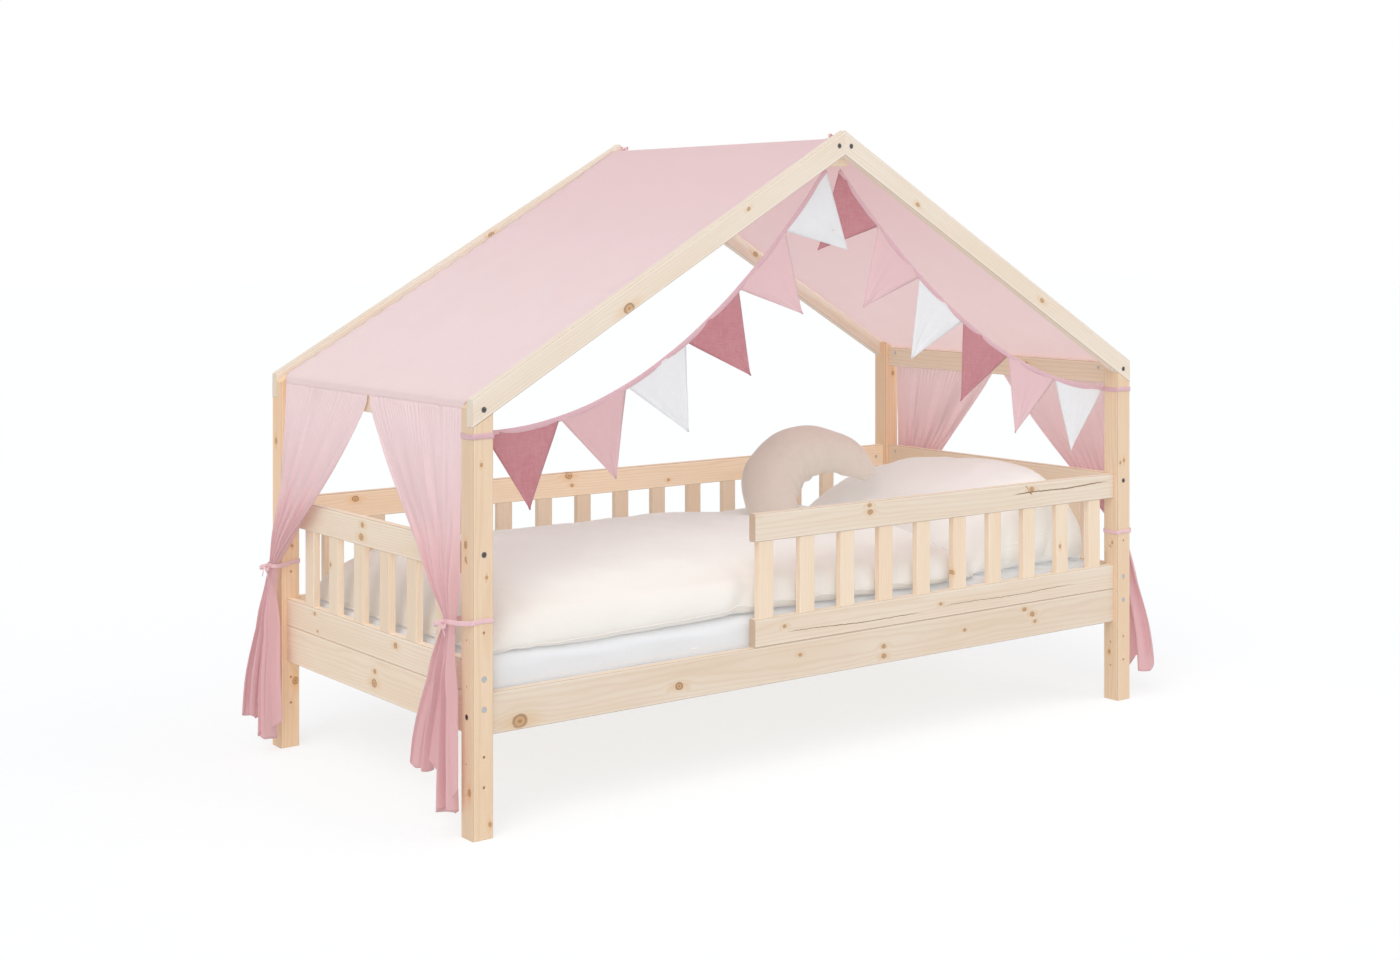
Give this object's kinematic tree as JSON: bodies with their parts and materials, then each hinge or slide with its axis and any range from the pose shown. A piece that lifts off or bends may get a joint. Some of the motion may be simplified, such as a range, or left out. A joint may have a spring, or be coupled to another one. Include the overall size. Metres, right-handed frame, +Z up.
{
  "type": "toddler house bed",
  "caption": "House-shaped child's bed with gabled fabric roof, slatted guards, tied-back curtains, bunting and bedding.",
  "frame": {"origin": "centre of the bed's footprint, on the floor", "axes": "+X along the length towards the head end (pillow), +Y towards the closed back side, +Z up"},
  "size_m": [2.22, 1.036, 1.5278],
  "materials": {
    "pine_board": "clear matt, planed",
    "pine_roof": "clear matt, planed",
    "pine_hidden": "raw planed",
    "spruce_slat": "raw planed",
    "webbing": "woven tape",
    "bolt_steel": "bronzed satin",
    "zinc_steel": "zinc plated",
    "sheet_cotton": "white fitted sheet",
    "duvet_cotton": "cream cotton",
    "pillow_cotton": "off-white cotton",
    "cushion_jersey": "taupe jersey",
    "canopy_voile": "pale pink cotton",
    "curtain_voile": "pink cotton",
    "felt_rose": "dusky rose felt",
    "felt_pink": "soft pink felt",
    "felt_white": "white felt",
    "bias_tape": "satin bias tape",
    "ribbon": "cotton ribbon"
  },
  "bodies": {
    "root": {"post_front_left": "pine_board", "post_front_right": "pine_board", "post_back_left": "pine_board", "post_back_right": "pine_board", "side_rail_front": "pine_board", "side_rail_back": "pine_board", "end_rail_left": "pine_board", "end_rail_right": "pine_board", "guard_front_bottom_rail": "pine_board", "guard_front_top_rail": "pine_board", "guard_front_slats": "pine_board", "guard_back_bottom_rail": "pine_board", "guard_back_top_rail": "pine_board", "guard_back_slats": "pine_board", "guard_left_bottom_rail": "pine_board", "guard_left_top_rail": "pine_board", "guard_left_slats": "pine_board", "guard_right_bottom_rail": "pine_board", "guard_right_top_rail": "pine_board", "guard_right_slats": "pine_board", "rafter_front_left": "pine_roof", "rafter_front_right": "pine_roof", "rafter_back_left": "pine_roof", "rafter_back_right": "pine_roof", "ridge_beam": "pine_roof", "eave_beam_left": "pine_roof", "eave_beam_right": "pine_roof", "batten_front": "pine_hidden", "batten_back": "pine_hidden", "batten_screws": "zinc_steel", "base_slats_set": "spruce_slat", "base_straps": "webbing", "side_bolts": "bolt_steel", "end_bolts": "bolt_steel", "roof_bolts": "bolt_steel", "barrel_nuts": "zinc_steel", "guard_dowels": "pine_hidden", "canopy": "canopy_voile", "curtain_front_left": "curtain_voile", "curtain_front_right": "curtain_voile", "curtain_back_left": "curtain_voile", "curtain_back_right": "curtain_voile", "tie_front_left": "ribbon", "tie_front_right": "ribbon", "tie_back_left": "ribbon", "tie_back_right": "ribbon", "ridge_ties": "ribbon", "bunting_tape": "bias_tape", "pennants_rose": "felt_rose", "pennants_pink": "felt_pink", "pennants_white": "felt_white"},
    "mattress": {"mattress": "sheet_cotton"},
    "duvet": {"duvet": "duvet_cotton"},
    "pillow": {"pillow": "pillow_cotton"},
    "crescent_cushion": {"crescent_cushion": "cushion_jersey"}
  },
  "joints": [
    {"name": "mattress_lift", "type": "slide", "parent": "root", "child": "mattress", "axis": [0, 0, 1], "range_m": [0, 0.1]},
    {"name": "duvet_lift", "type": "slide", "parent": "mattress", "child": "duvet", "axis": [0, 0, 1], "range_m": [0, 0.12]},
    {"name": "cushion_lift", "type": "slide", "parent": "duvet", "child": "crescent_cushion", "axis": [0, 0, 1], "range_m": [0, 0.12]},
    {"name": "pillow_lift", "type": "slide", "parent": "mattress", "child": "pillow", "axis": [0, 0, 1], "range_m": [0, 0.09]}
  ]
}
